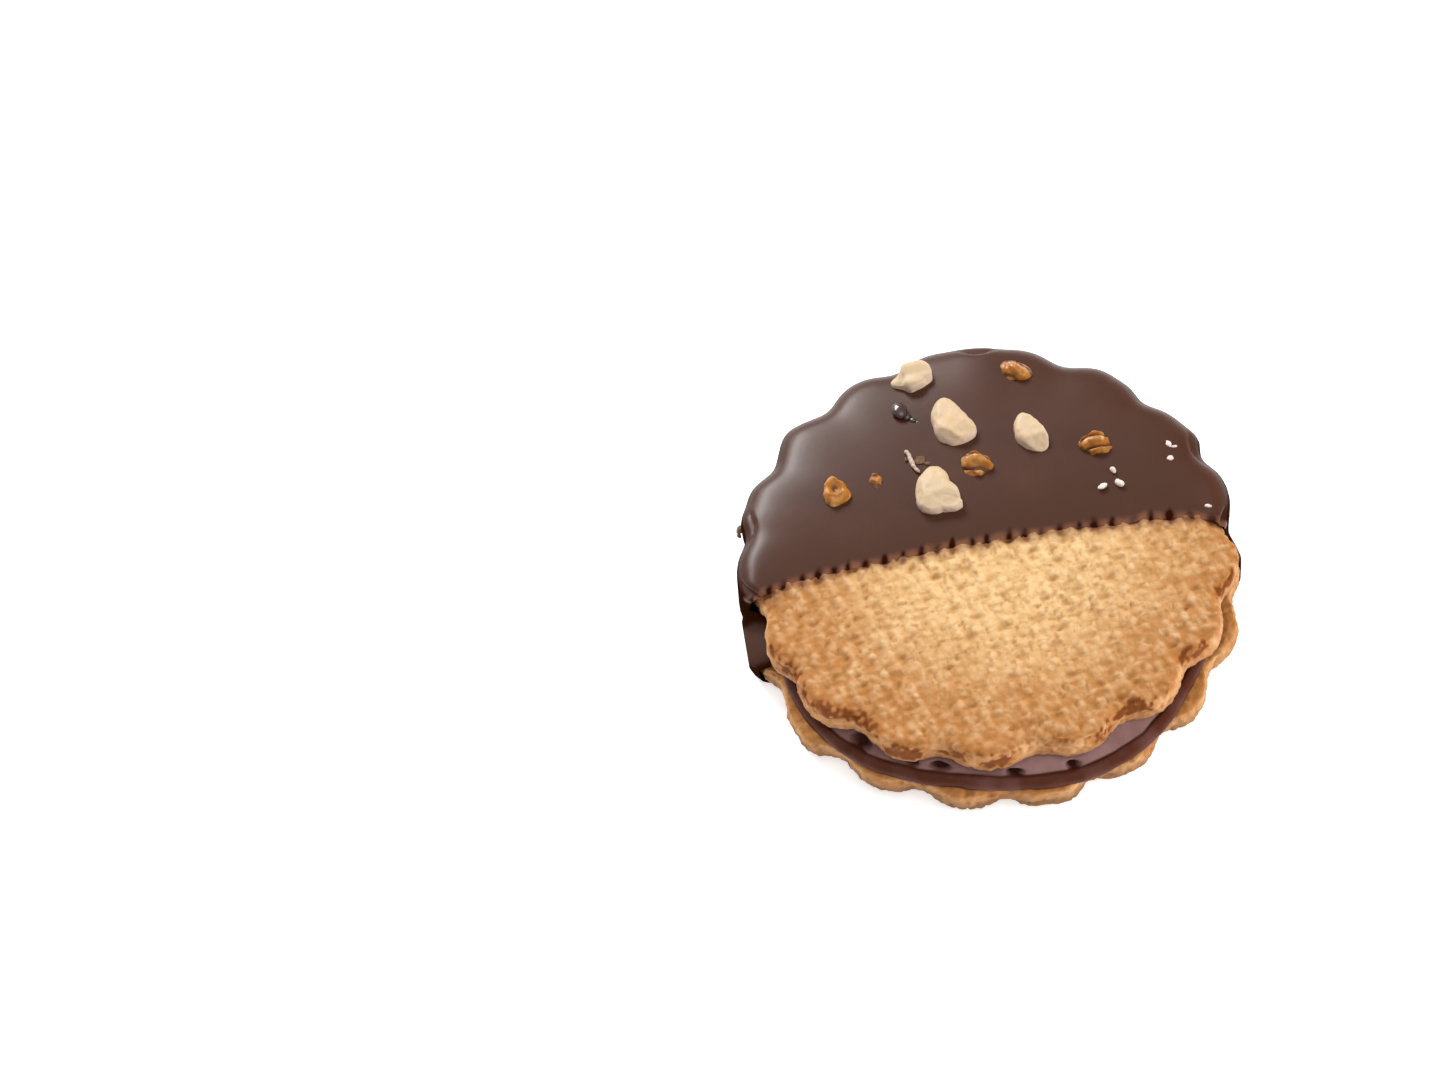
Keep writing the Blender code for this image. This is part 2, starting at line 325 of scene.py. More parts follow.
def refine(piece, chosen):
    """Divide the faces whose corners are all chosen."""
    pick(piece)
    bpy.ops.object.mode_set(mode="EDIT")
    bpy.ops.mesh.select_mode(type="VERT")
    bpy.ops.mesh.select_all(action="DESELECT")
    bpy.ops.object.mode_set(mode="OBJECT")
    piece.data.vertices.foreach_set("select", chosen)
    bpy.ops.object.mode_set(mode="EDIT")
    bpy.ops.mesh.subdivide(number_cuts=1)
    bpy.ops.object.mode_set(mode="OBJECT")


def quarter_round(size, steps):
    """Inset and rise of a quarter round, from its face to its wall."""
    turns = [0.5 * math.pi * i / steps for i in range(steps + 1)]
    return [(size * (1 - math.sin(turn)), size * (1 - math.cos(turn))) for turn in turns]


def bake_biscuit(name, rim, base, face_round, face_up, middle):
    """Fluted biscuit: rings from the belt-marked face to the inner face, then an even mesh."""
    profile = quarter_round(face_round, FACE_STEPS)
    profile += [(inset, BISCUIT_THICKNESS - rise)
                for inset, rise in reversed(quarter_round(INNER_ROUND, INNER_STEPS))]
    if face_up:
        profile = [(inset, BISCUIT_THICKNESS - rise) for inset, rise in reversed(profile)]
    heights = [base + rise for inset, rise in profile]
    biscuit = stack_rings(name, BISCUIT_RADIUS, heights)
    points = get_points(biscuit)
    angle = np.arctan2(points[:, 1], points[:, 0])
    inset = np.interp(points[:, 2], heights, [inset for inset, rise in profile])
    reach = rim(angle) - inset
    points[:, 0] = middle[0] + reach * np.cos(angle)
    points[:, 1] = middle[1] + reach * np.sin(angle)
    put_points(biscuit, points)
    even_mesh(biscuit, CRUMB_MESH, CRUMB_RELAX)
    points = get_points(biscuit)
    reach = np.hypot(points[:, 0] - middle[0], points[:, 1] - middle[1])
    shown = (points[:, 2] > base + 1) if face_up else (reach > FINE_FROM_REACH)
    refine(biscuit, (points[:, 1] < FINE_TO_Y) & shown)
    return biscuit


def belt_mark(points):
    """Pits and grooves that the woven oven belt pressed in, and the pillows left between."""
    flat = points[:, :2] - BELT_CORNER
    flat = flat + BELT_WANDER * np.stack([grain(points, 5.0, 3), grain(points, 5.0, 4)], axis=1)
    flat = flat + BELT_WANDER * np.stack([grain(points, 1.2, 1), grain(points, 1.2, 2)], axis=1)
    across, along = np.linalg.solve(BELT_LATTICE, flat.T)
    pits = np.zeros(len(points))
    for step in (-1, 0, 1):
        column = np.round(across) + step
        row = 2 * np.round((along - column) / 2) + column
        knot = np.stack([column, row, np.zeros(len(points))], axis=1)
        aside = (across - column - 0.14 * (scatter(knot, 5) - 0.5)) / PIT_ASIDE
        ahead = (along - row - 0.18 * (scatter(knot, 6) - 0.5)) / PIT_AHEAD
        depth = 0.55 + 0.6 * scatter(knot, 7)
        pits = np.maximum(pits, depth * np.exp(-(aside ** 2 + ahead ** 2)))
    column = np.round(across)
    between = 0.65 - 0.35 * np.cos(math.pi * (column + along))
    strand = np.stack([column, np.floor(along), np.ones(len(points))], axis=1)
    grooves = (between * np.exp(-((across - column) / GROOVE_ASIDE) ** 2)
               * (0.2 + 0.8 * scatter(strand, 8)))
    mark = np.maximum(pits, 0.7 * grooves)
    middle = np.cos(2 * math.pi * across) * np.cos(math.pi * across) * np.cos(math.pi * along)
    pillow = np.clip(-middle, 0, 1) + 0.6 * np.clip(-np.cos(2 * math.pi * across), 0, 1)
    return mark, np.clip(pillow * (1 - mark), 0, 1)


def crumb_cells(points):
    """Closely packed pillows of crumb: their swell, the cracks between, and a tone for each."""
    flat = points[:, :2] + 0.25 * np.stack([grain(points, 1.6, 27), grain(points, 1.6, 28)], axis=1)
    place = CELLS_PER_MARK * np.linalg.solve(BELT_LATTICE, (flat - BELT_CORNER).T).T
    nearest = np.full(len(points), 9.0)
    second = np.full(len(points), 9.0)
    tone = np.zeros(len(points))
    for step in itertools.product((-1, 0, 1), repeat=2):
        home = np.floor(place) + step
        key = np.concatenate([home, np.zeros((len(points), 1))], axis=1)
        middle = home + 0.15 + 0.7 * np.stack([scatter(key, 24), scatter(key, 25)], axis=1)
        gap = np.hypot(*(middle - place).T)
        closer = gap < nearest
        second = np.where(closer, nearest, np.minimum(second, gap))
        tone = np.where(closer, scatter(key, 26), tone)
        nearest = np.minimum(nearest, gap)
    return ease(0.7, 0.1, nearest), ease(CRACK_WIDTH, 0.04, second - nearest), tone


def roughen(biscuit, rim, lobes, base, face_up, middle, browned):
    """Press in the belt mark, break up the surface, and paint its browning, shade and highlights.
    """
    points = get_points(biscuit)
    normals = get_normals(biscuit)
    aside = points[:, :2] - np.array(middle)
    angle = np.arctan2(aside[:, 1], aside[:, 0])
    inset = rim(angle) - np.hypot(aside[:, 0], aside[:, 1])
    notch = ease(0.1, 1.0, -lobes(angle))
    face_sign = 1 if face_up else -1
    face = base + BISCUIT_THICKNESS if face_up else base
    below_face = face_sign * (face - points[:, 2])
    marked = ease(1.6, 0.3, below_face) * ease(0.3, 1.6, inset)
    wall = ease(0.8, 0.45, np.abs(normals[:, 2]))

    # Shape: sunken notches, the belt's mark where it isn't worn, and the crumb itself.
    scoop = notch * ease(3.0, 0.2, inset) * ease(2.6, 0.2, below_face)
    points[:, 2] -= face_sign * SCOOP_DEPTH * scoop
    mark, pillow = belt_mark(points)
    worn = np.clip(0.8 + 0.6 * grain(points, 4.0, 11) + 0.4 * grain(points, 1.4, 10), 0.1, 1.2)
    coarse = 0.7 + 0.6 * ease(14.0, 2.0, inset)
    top = ease(2.4, 0.6, below_face)
    cell, crack, tone = crumb_cells(points)
    broken = ease(-0.45, 0.25, grain(points, 1.0, 19))
    crack = crack * broken * top
    swell = 0.07 * grain(points, 4.5, 12) + 0.05 * grain(points, 1.9, 13)
    lumps = grain(points, 0.7, 14)
    fine = grain(points, 0.42, 15)
    crumb = coarse * ((0.12 - 0.05 * top) * lumps + 0.05 * fine + 0.05 * cell * top - 0.1 * crack)
    ragged = 0.15 * grain(points, 1.8, 20) * ease(2.5, 0.5, inset)
    tears = np.clip(grain(points * (0.7, 0.7, 1.5), 1.0, 16) - 0.25, 0, 1) * wall
    pores = np.clip(grain(points, 0.9, 17) - 0.6, 0, 1)
    move = (swell + crumb + ragged - (BELT_DEPTH * mark - PILLOW_RISE * pillow) * worn * marked
            - TEAR_DEPTH * tears - PORE_DEPTH * pores)
    points += normals * move[:, None]
    points[:, 1] = np.maximum(points[:, 1], cad_box[0][1] / MM + BOX_GAP)
    put_points(biscuit, points)

    # Paint: ragged browned spots and their scorched cores, marks, cells, walls and dark specks.
    # Marks, specks and pillows are partly painted shade and highlight; the walls get painted shade
    # low down.
    baked = np.zeros(len(points))
    for at, strength, width, below in browned:
        spot = np.exp(-(degrees_from(angle, at) / width) ** 4
                      - ((below_face - below) / SPOT_TALL) ** 2)
        baked = np.maximum(baked, SPOT_STRENGTH * strength * spot * ease(2.4, 0.8, inset))
    patchy = 0.45 + 0.5 * grain(points, 1.3, 21) + 0.7 * grain(points, 0.5, 23)
    rim_line = np.exp(-((below_face - 0.5) / 0.55) ** 2) * ease(2.2, 0.4, inset)
    baked = np.clip(baked * (0.45 + 0.8 * patchy) + 0.7 * rim_line * ease(0.3, 1.0, patchy), 0, 1)
    pinholes = ease(0.45, 0.75, grain(points, 0.55, 29)) * coarse
    paint(biscuit, "toast", baked)
    paint(biscuit, "scorch", ease(0.55, 1.25, baked + 0.2 * patchy))
    # The belt's pits, grooves and pores are painted darker: partly their browning, partly painted
    # shade.
    paint(biscuit, "mark", np.clip(mark * marked * worn + 1.5 * pores, 0, 1))
    # Painted highlight: raised pillows and lumps are painted lighter; the cells' tones vary at
    # random.
    bright = 0.7 * pillow * marked * worn + 0.45 * top * cell * tone + 0.4 * lumps
    paint(biscuit, "pillow", np.clip(bright, 0, 1))
    paint(biscuit, "side", wall)
    # Painted shade: each wall is darkened low down as a contact shadow, the lower one most at the
    # front.
    low = (0.5 * ease(2.2, 0.3, points[:, 2] - base) if face_up
           else ease(3.9, 1.3, points[:, 2] - base) * (0.5 + 0.5 * np.cos(angle - BROWN_AND_SHADE_TOWARDS)))
    paint(biscuit, "under", low * ease(0.8, 0.4, normals[:, 2]))
    # Painted shade in the cracks between cells and in the crumb's low spots, with dark pinhole
    # dots.
    dark = 0.38 * crack + 0.5 * np.clip(-lumps - 0.15, 0, 1) + 0.5 * np.clip(-fine - 0.2, 0, 1)
    paint(biscuit, "specks_and_shade", np.clip(coarse * dark + pinholes, 0, 1))
    browner = 2.5 * grain(points, 5.0, 22) + 2.5 * np.cos(angle - BROWN_AND_SHADE_TOWARDS)
    paint(biscuit, "edge", ease(19.0, 0.5, inset - browner))
    pick(biscuit)
    bpy.ops.object.shade_smooth()


def new_material(name, colour, roughness, specular):
    """Principled material, with its shader and node tree."""
    material = bpy.data.materials.new(name)
    material.use_nodes = True
    shader = material.node_tree.nodes["Principled BSDF"]
    shader.inputs["Base Color"].default_value = (*colour, 1)
    shader.inputs["Roughness"].default_value = roughness
    shader.inputs["Specular IOR Level"].default_value = specular
    return material, shader, material.node_tree


def read_paint(tree, name):
    """Socket of a number painted on the mesh."""
    node = tree.nodes.new("ShaderNodeAttribute")
    node.attribute_name = name
    return node.outputs["Fac"]


def speckle(tree, scale, detail, low, high):
    """Socket of object-space noise, spread from low to high; scale in features per mm."""
    place = tree.nodes.new("ShaderNodeTexCoord")
    noise = tree.nodes.new("ShaderNodeTexNoise")
    noise.inputs["Scale"].default_value = scale / MM
    noise.inputs["Detail"].default_value = detail
    spread = tree.nodes.new("ShaderNodeMapRange")
    spread.inputs["From Min"].default_value = low
    spread.inputs["From Max"].default_value = high
    tree.links.new(place.outputs["Object"], noise.inputs["Vector"])
    tree.links.new(noise.outputs["Fac"], spread.inputs["Value"])
    return spread.outputs["Result"]


def blend(tree, under, over, share, most=1.0):
    """Colour socket: the colour over, laid on the colour under by a share, at most so much."""
    mix = tree.nodes.new("ShaderNodeMix")
    mix.data_type = "RGBA"
    if most != 1.0:
        weaken = tree.nodes.new("ShaderNodeMath")
        weaken.operation = "MULTIPLY"
        weaken.use_clamp = True
        weaken.inputs[1].default_value = most
        tree.links.new(share, weaken.inputs[0])
        tree.links.new(weaken.outputs["Value"], mix.inputs["Factor"])
    else:
        tree.links.new(share, mix.inputs["Factor"])
    for colour, socket in ((under, mix.inputs["A"]), (over, mix.inputs["B"])):
        if isinstance(colour, tuple):
            socket.default_value = (*colour, 1)
        else:
            tree.links.new(colour, socket)
    return mix.outputs["Result"]


def lay_paints(tree, colour, layers):
    """Colour socket: layers over a colour; each has its colour, the paint's name and its most."""
    for over, name, most in layers:
        colour = blend(tree, colour, over, read_paint(tree, name), most)
    return colour


def finish_skin(tree, shader, colour, scale, detail, strength, distance):
    """Lay the colour, and fine bumps from noise; distance in millimetres."""
    tree.links.new(colour, shader.inputs["Base Color"])
    bump = tree.nodes.new("ShaderNodeBump")
    bump.inputs["Strength"].default_value = strength
    bump.inputs["Distance"].default_value = distance * MM
    tree.links.new(speckle(tree, scale, detail, 0, 1), bump.inputs["Height"])
    tree.links.new(bump.outputs["Normal"], shader.inputs["Normal"])


CRUMB_PALE = (0.67, 0.42, 0.185)
# Partly a painted highlight on raised pillows and lumps.
CRUMB_PILLOW_AND_HIGHLIGHT = (0.85, 0.62, 0.36)
CRUMB_MIDDLE = (0.69, 0.40, 0.145)
CRUMB_RIM = (0.42, 0.17, 0.045)
# Partly the crumb's darker brown, partly painted shade in pits, cracks and low spots.
CRUMB_PIT_AND_SHADE = (0.34, 0.15, 0.038)
CRUMB_SIDE = (0.66, 0.36, 0.17)
# Painted shade, laid low on the walls.
CRUMB_UNDER_SHADE = (0.11, 0.048, 0.022)
CRUMB_TOAST = (0.33, 0.105, 0.014)
CRUMB_SCORCH = (0.12, 0.022, 0.001)
CRUMB_STAIN = (0.17, 0.060, 0.022)
shortbread, shader, tree = new_material("baked_shortbread", CRUMB_MIDDLE, 0.8, 0.25)
colour = lay_paints(tree, CRUMB_PALE, (
    (CRUMB_RIM, "edge", 1.0), (CRUMB_SIDE, "side", 0.5), (CRUMB_PILLOW_AND_HIGHLIGHT, "pillow", 0.5),
    (CRUMB_PIT_AND_SHADE, "specks_and_shade", 0.7), (CRUMB_PIT_AND_SHADE, "mark", 0.72)))
colour = blend(tree, colour, CRUMB_PIT_AND_SHADE, speckle(tree, 1.3, 1, 0.52, 0.75), 0.4)
colour = lay_paints(tree, colour, (
    (CRUMB_UNDER_SHADE, "under", 0.75), (CRUMB_TOAST, "toast", 0.9), (CRUMB_SCORCH, "scorch", 0.8),
    (CRUMB_STAIN, "stain", 1.0)))
finish_skin(tree, shader, colour, 2.2, 3, 0.7, 0.12)

# Each browned spot: degrees round the rim, strength, half width and depth below the face.
LOWER_BROWNED = ((335, 0.3, 4, 3.0), (262, 0.3, 5, 3.2), (238, 0.3, 4, 3.2), (300, 0.3, 4, 3.0))
biscuit_base = bake_biscuit("biscuit_base", lower_rim, LOWER_BASE, LOWER_ROUND, False, (0, 0))
roughen(biscuit_base, lower_rim, lambda angle: flutes(angle, LOWER_TURN, LOWER_SWAY),
        LOWER_BASE, False, (0, 0), LOWER_BROWNED)
biscuit_base.data.materials.append(shortbread)
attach(biscuit_base, "root")
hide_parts("biscuit_lower")

# The upper biscuit: from the same mould, laid face up, turned half a flute and set back. The
# woven belt marked its face with rows of pits, and its notches browned most.
UPPER_TURN = math.radians(197.2)
UPPER_SHIFT = (-0.2, 1.7)
UPPER_SWAY = ((1, math.radians(0.6), math.radians(16)),
              (2, math.radians(0.75), math.radians(191)),
              (3, math.radians(0.5), math.radians(216)))
UPPER_SWELL = ((3, 0.26, math.radians(-90)),)
UPPER_ROUND = 1.05
WORN_AT = math.radians(192)
WORN_WIDTH = math.radians(7)
WORN_DEPTH = 1.3
UPPER_BROWNED = ((296, 1.0, 5.0, 1.2), (287, 0.8, 4.0, 1.9), (317, 0.9, 4.0, 1.1),
                 (262, 0.8, 4.0, 1.9), (252, 0.9, 4.0, 1.6), (240, 1.0, 5.0, 1.8),
                 (230, 0.9, 5.0, 0.6), (220, 0.7, 5.0, 0.5), (208, 0.9, 6.0, 1.4),
                 (338, 0.7, 3.5, 1.0), (275, 0.5, 3.0, 1.9), (201, 0.5, 3.0, 0.6))


def upper_rim(angle, flute=1.0):
    """Radius of the upper biscuit's outline about its own middle."""
    worn = np.exp(-(np.remainder(angle - WORN_AT + math.pi, 2 * math.pi) - math.pi) ** 2
                  / WORN_WIDTH ** 2)
    return (BISCUIT_RADIUS + flute * LOBE_RISE * flutes(angle, UPPER_TURN, UPPER_SWAY)
            + wave_sum(angle, UPPER_SWELL) - WORN_DEPTH * worn)


biscuit_lid = bake_biscuit("biscuit_lid", upper_rim, UPPER_BASE, UPPER_ROUND, True, UPPER_SHIFT)
roughen(biscuit_lid, upper_rim, lambda angle: flutes(angle, UPPER_TURN, UPPER_SWAY),
        UPPER_BASE, True, UPPER_SHIFT, UPPER_BROWNED)
biscuit_lid.data.materials.append(shortbread)
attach(biscuit_lid, "root")
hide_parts("biscuit_upper")

# The filling: soft chocolate cream, pressed out by the upper biscuit into a bead on the bare
# side. Over the bead it steps back in a crease and slopes in under the upper biscuit, with a
# few hollows where air was caught.
BEAD_REST = 26.9
BEAD_SQUEEZE = 2.85
BEAD_TOWARDS = math.radians(259)
BEAD_POWER = 0.95
BEAD_RIPPLE = 0.7
BEAD_RIPPLES = 5
BEAD_RIPPLE_AT = math.radians(219)
BEAD_STEP = 0.14
CREAM_TURNS = 720
BEAD_CREST = 5.5
ARC_PER_DEGREE = 0.49
HOLLOW_DROP = 0.55
HOLLOW_DEPTH = 0.8
FOLD_INSET = 1.3
FOLD_WIDTH = 0.13
# Each hollow: degrees round the bead, inset, width and height.
HOLLOWS = ((226.1, 2.0, 2.7, 0.8), (239.9, 1.9, 1.5, 0.42), (247.1, 1.9, 2.5, 0.45),
           (265.4, 1.75, 2.3, 0.45), (279.3, 1.75, 1.7, 0.5), (204.6, 1.6, 2.4, 0.7),
           (308.4, 1.7, 2.6, 0.5))


def bead_reach(angle):
    """Outer radius of the cream."""
    squeeze = np.maximum(0, np.cos(angle - BEAD_TOWARDS)) ** BEAD_POWER
    ripple = BEAD_RIPPLE * np.cos(BEAD_RIPPLES * (angle - BEAD_RIPPLE_AT))
    return BEAD_REST + squeeze * (BEAD_SQUEEZE + ripple)


bead_profile = ((1.5, 4.46), (0.9, 4.36), (0.45, 4.32), (0.14, 4.45), (0.02, 4.7), (0.0, 5.0),
                (0.06, 5.25), (0.2, 5.48), (0.42, 5.68), (0.68, 5.82), (0.95, 5.9), (1.15, 5.88),
                (1.28, 5.8), (1.36, 5.8), (1.5, 5.92), (3.3, 6.68))
cream_profile = [(BEAD_REST, LOWER_TOP), (12.0, LOWER_TOP), (4.0, LOWER_TOP)]
for (inset, height), (next_inset, next_height) in zip(bead_profile, bead_profile[1:]):
    parts = max(1, round((next_inset - inset) / BEAD_STEP))
    for step in range(parts):
        share = step / parts
        cream_profile.append((inset + share * (next_inset - inset),
                              height + share * (next_height - height)))
cream_profile += [(3.4, UPPER_BASE), (12.0, UPPER_BASE), (BEAD_REST, UPPER_BASE)]
leave_all()
bpy.ops.mesh.primitive_grid_add(x_subdivisions=len(cream_profile) - 1, y_subdivisions=1, size=MM)
cream_layer = bpy.context.object
cream_layer.name = "cream_layer"
bpy.ops.object.mode_set(mode="EDIT")
bpy.ops.mesh.select_all(action="DESELECT")
bpy.ops.object.mode_set(mode="OBJECT")
for vert in cream_layer.data.vertices:
    vert.select = vert.co.y > 0
bpy.ops.object.mode_set(mode="EDIT")
bpy.ops.mesh.delete(type="VERT")
bpy.ops.object.mode_set(mode="OBJECT")
strip = sorted(cream_layer.data.vertices, key=lambda vert: vert.co.x)
for vert, (inset, height) in zip(strip, cream_profile):
    vert.co = Vector((BEAD_REST - inset, 0, height)) * MM
bpy.ops.object.mode_set(mode="EDIT")
bpy.ops.mesh.select_all(action="SELECT")
bpy.ops.mesh.spin(steps=CREAM_TURNS, angle=2 * math.pi, center=(0, 0, 0), axis=(0, 0, 1))
bpy.ops.mesh.select_all(action="SELECT")
bpy.ops.mesh.remove_doubles(threshold=0.01 * MM)
bpy.ops.mesh.select_all(action="SELECT")
bpy.ops.mesh.normals_make_consistent(inside=False)
bpy.ops.object.mode_set(mode="OBJECT")

points = get_points(cream_layer)
angle = np.arctan2(points[:, 1], points[:, 0])
reach = np.hypot(points[:, 0], points[:, 1])
inset = BEAD_REST - reach
ripples = 0.16 * grain(points, 2.6, 31) + 0.08 * grain(points, 1.2, 32)
grown = bead_reach(angle) + ripples - BEAD_REST
reach = reach + grown * ease(14, 2, inset)
hollow = np.zeros(len(points))
for at, deep, wide, tall in HOLLOWS:
    along = degrees_from(angle, at) * ARC_PER_DEGREE
    oval = np.hypot(along / (0.5 * wide), (inset - deep) / tall) + 0.2 * grain(points, 0.8, 33)
    hollow = np.maximum(hollow, ease(1.35, 0.45, oval))
hollow *= (points[:, 2] > BEAD_CREST)
points[:, 2] -= HOLLOW_DROP * hollow
reach = reach - HOLLOW_DEPTH * hollow
points[:, 0] = reach * np.cos(angle)
points[:, 1] = reach * np.sin(angle)
put_points(cream_layer, points)
# Painted shade: the hollows are painted near black-brown.
paint(cream_layer, "hollow", np.clip(hollow, 0, 1))
above = points[:, 2] > BEAD_CREST
# Painted reflection: the slope above the crease is painted paler and greyer, as the room's sheen on
# it.
paint(cream_layer, "slope_sheen", ease(FOLD_INSET, 1.5, inset) * above)
# Painted shade along the crease.
paint(cream_layer, "fold_shade", np.exp(-((inset - FOLD_INSET) / FOLD_WIDTH) ** 2) * above)
bpy.ops.object.shade_smooth()

CREAM_DARK = (0.076, 0.019, 0.008)
CREAM_LIGHT = (0.15, 0.066, 0.055)
# Painted reflection of the white room on the slope.
CREAM_SLOPE_SHEEN = (0.29, 0.165, 0.155)
# Painted shade, in the hollows and along the crease.
CREAM_SHADE = (0.040, 0.007, 0.002)
cream, shader, tree = new_material("chocolate_cream_skin", CREAM_DARK, 0.5, 0.14)
colour = blend(tree, CREAM_DARK, CREAM_SLOPE_SHEEN, read_paint(tree, "slope_sheen"), 0.9)
colour = blend(tree, colour, CREAM_LIGHT, speckle(tree, 0.3, 3, 0.45, 0.75), 0.6)
colour = lay_paints(tree, colour, (
    (CREAM_SHADE, "fold_shade", 0.45), (CREAM_SHADE, "hollow", 1.0)))
finish_skin(tree, shader, colour, 1.2, 3, 0.35, 0.1)
cream_layer.data.materials.append(cream)
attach(cream_layer, "root")
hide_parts("cream_filling")

# The coat: the sable was dipped to its middle in dark milk chocolate, which set in one smooth
# satin shell over both biscuits and bridged the groove between them. Its edge is thin, and on
# the face it ran along the belt mark's grooves in short dark teeth.
# The teeth are also painted darker as shade in the grooves.
COAT_SIDE = 0.6
COAT_WAIST = 0.15
COAT_TOP = 12.05
COAT_FLUTE = 0.8
COAT_FOOT = 1.4
COAT_CORNER = 3.2
COAT_CORNER_DROP = 1.55
COAT_DOME = 17.0
COAT_DOME_DROP = 1.2
# Where the coat is thicker, stands higher, fills its notches or bulges at the waist: degrees
# round it, size and half width.
COAT_SWELLS = ((134, 0.6, 4), (152, 0.3, 4), (160, 0.3, 4), (52, 0.25, 5), (22, 0.4, 4),
               (10.5, 0.2, 4))
COAT_LIFTS = ((81, 0.4, 9),)
COAT_FILLS = ((181, 0.8, 8), (159, 1.0, 6), (138, 0.4, 6), (83, 1.2, 9), (24, 1.0, 6),
              (45, 0.7, 5))
WAIST_SWELL = ((188, 0.9, 8),)
FILL_LEVEL = 0.8
FOOT_STEPS = 4
SHOULDER_INSETS = (0, 0.1, 0.3, 0.6, 1.0, 1.5, 2.0, 2.6, 3.2, 4.0, 5.0, 6.5, 8.0, 10.0, 12.0,
                   14.0, 16.5)
WAIST_HEIGHT = 5.6
LEDGE = 2.2
TOOTH_LEAN = 0.16
COAT_MESH = 0.36
COAT_RELAX = 6
FINE_BEHIND_EDGE = 0.8
FINE_HALF_WIDTH = 2.4
FINE_ABOVE = 8
COAT_THICKNESS = 0.5
EDGE_THICKNESS = 0.05
EDGE_TAPER = 2.2
TOOTH_LENGTH = 0.22
FILM_EDGE = 0.1
FILM_FULL = 1.5
FILM_REACH = 10.0
EDGE_DIP = 0.14
WALL_DIP = 0.35
CRUMB_UNDER_COAT = 0.25
# The dip line: where it lies on the face, its bow, and how far it runs down the two ends.
DIP_LINE = 2.05
DIP_BOW = 2.4
DIP_BOW_AT = 28.5
RUN_MEAN = 4.3
RUN_LEFT_MORE = 2.3
RUN_FROM = 8.0
RUN_TO = 7.0
RUN_LIFT = 0.8


def dip_line(x, z):
    """Y of the chocolate's edge: bowed on the face, run down further at the left end."""
    across = np.clip(x / DIP_BOW_AT, -1, 1)
    line = DIP_LINE - DIP_BOW * np.abs(across) ** 3 - 1.0 * ease(0.93, 1.04, x / DIP_BOW_AT)
    lift = RUN_LIFT * ease(0, -1, across) * ease(4.0, 0.5, z)
    return line - (RUN_MEAN - RUN_LEFT_MORE * across) * ease(RUN_FROM, RUN_TO, z) + lift


def teeth(points):
    """Where the chocolate ran into a groove of the belt mark at its edge, from 0 to 1."""
    line = dip_line(points[:, 0], COAT_TOP)
    foot = points[:, 0] - TOOTH_LEAN * (points[:, 1] - line)
    flat = np.stack([foot, line], axis=1) - BELT_CORNER
    across, along = np.linalg.solve(BELT_LATTICE, flat.T)
    column = np.round(across)
    strand = np.stack([column, np.zeros(len(points)), np.zeros(len(points))], axis=1)
    aside = across - column - 0.34 * (scatter(strand, 41) - 0.5)
    wide = 0.16 + 0.11 * scatter(strand, 50)
    return (0.35 + 0.65 * scatter(strand, 42)) * np.exp(-(aside / wide) ** 2)


def on_upper_face(points):
    """1 on the coat's top, falling to 0 down its side."""
    return ease(9.0, 10.2, points[:, 2])


# Each ring of the coat has its reach past the biscuit's rim, its height, its share of the upper
# biscuit's outline, and how strongly it follows the flutes.
foot = [(COAT_SIDE - inset, rise, 0.0, COAT_FLUTE)
        for inset, rise in quarter_round(COAT_FOOT, FOOT_STEPS)]
waist = [(COAT_SIDE, LOWER_TOP, 0.0, COAT_FLUTE), (COAT_WAIST, WAIST_HEIGHT, 0.5, 0.5 * COAT_FLUTE),
         (COAT_SIDE, UPPER_BASE, 1.0, COAT_FLUTE)]
shoulder = []
for inset in SHOULDER_INSETS:
    corner = max(0, 1 - inset / COAT_CORNER)
    drop = (COAT_CORNER_DROP * (1 - math.sqrt(1 - corner ** 2))
            + COAT_DOME_DROP * (1 - inset / COAT_DOME) ** 3)
    shoulder.append((COAT_SIDE - inset, COAT_TOP - drop, 1.0,
                     COAT_FLUTE * (1 - inset / COAT_DOME)))
rings = foot + waist + shoulder
heights = [height for reach, height, share, flute in rings]
dipped_coat = stack_rings("dipped_coat", BISCUIT_RADIUS, heights)
points = get_points(dipped_coat)
angle = np.arctan2(points[:, 1], points[:, 0])
level = np.interp(points[:, 2], heights, range(len(heights)))
reach, share, flute = (np.interp(level, range(len(rings)), [ring[k] for ring in rings])
                       for k in (0, 2, 3))
filled = np.clip(local_swells(angle, COAT_FILLS), 0, 1)
lower_lobes = flutes(angle, LOWER_TURN, LOWER_SWAY)
upper_lobes = flutes(angle, UPPER_TURN, UPPER_SWAY)
rim = ((1 - share) * (lower_rim(angle, flute) + flute * LOBE_RISE * filled
                      * np.maximum(0, FILL_LEVEL - lower_lobes))
       + share * (upper_rim(angle, flute) + flute * LOBE_RISE * filled
                  * np.maximum(0, FILL_LEVEL - upper_lobes)))
reach = reach + local_swells(angle, COAT_SWELLS)
groove = ease(2.0, 5.0, points[:, 2]) * ease(9.0, 6.8, points[:, 2])
reach = reach + groove * local_swells(angle, WAIST_SWELL)
points[:, 0] = share * UPPER_SHIFT[0] + (rim + reach) * np.cos(angle)
points[:, 1] = share * UPPER_SHIFT[1] + (rim + reach) * np.sin(angle)
rim_share = ease(19.0, 27.0, np.hypot(points[:, 0], points[:, 1]))
points[:, 2] += rim_share * ease(8.5, 10.5, points[:, 2]) * local_swells(angle, COAT_LIFTS)
bare = ease(0.3, -1.2, points[:, 1] - dip_line(points[:, 0], COAT_TOP))
pull = LEDGE * bare * ease(5.3, 7.0, points[:, 2]) * ease(11.0, 9.0, points[:, 2])
